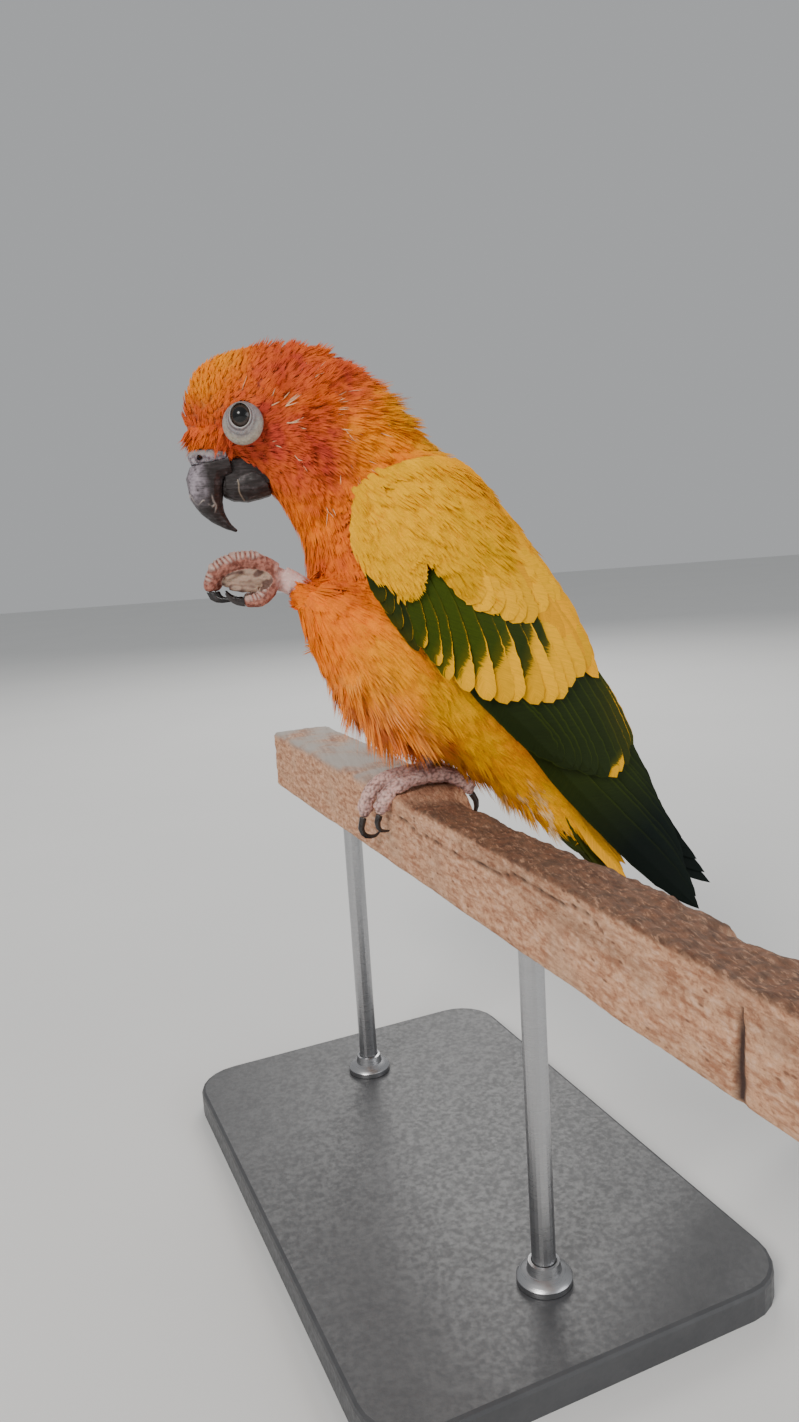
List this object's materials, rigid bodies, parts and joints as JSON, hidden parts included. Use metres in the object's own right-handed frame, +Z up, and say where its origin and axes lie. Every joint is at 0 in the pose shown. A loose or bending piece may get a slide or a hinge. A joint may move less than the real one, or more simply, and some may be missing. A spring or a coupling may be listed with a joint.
{
  "type": "sun conure",
  "caption": "Still model of a small parrot standing on one foot on a short wooden bar, the other foot raised to its bill, held by a plain display stand.",
  "frame": {"origin": "centre of the underside of the stand's base, under the standing foot", "axes": "+Z up, the bird looks along -X, its left side is towards -Y"},
  "size_m": [0.1903, 0.2587, 0.2412],
  "materials": {
    "plumage": "soft feathers, red-orange on the head to yellow on the belly",
    "wing_feathers": "feather vanes, golden yellow to dark green",
    "tail_feathers": "feather vanes, olive green to blue-black",
    "bare_skin": "matt wrinkled bare skin",
    "foot_skin": "granular scaly skin",
    "bill": "worn charcoal horn",
    "claw_horn": "smooth black horn",
    "eye": "wet dark eye",
    "perch_wood": "rough sawn and gnawed",
    "stand_paint": "satin dark grey",
    "stand_steel": "brushed"
  },
  "bodies": {
    "root": {"bill_lower": "bill", "bill_upper": "bill", "cere": "bare_skin", "claw_left_inner_back": "claw_horn", "claw_left_inner_front": "claw_horn", "claw_left_outer_back": "claw_horn", "claw_left_outer_front": "claw_horn", "claw_right_inner_back": "claw_horn", "claw_right_inner_front": "claw_horn", "claw_right_outer_back": "claw_horn", "claw_right_outer_front": "claw_horn", "eye_left": "eye", "eye_right": "eye", "eyelids_left": "bare_skin", "eyelids_right": "bare_skin", "foot_left": "foot_skin", "foot_right": "foot_skin", "head": "plumage", "neck": "plumage", "perch": "perch_wood", "stand_base": "stand_paint", "stand_rod_1": "stand_steel", "stand_rod_2": "stand_steel", "tail": "tail_feathers", "thigh_left": "plumage", "thigh_right": "plumage", "torso": "plumage", "wing_left": "wing_feathers", "wing_right": "wing_feathers"}
  },
  "joints": []
}
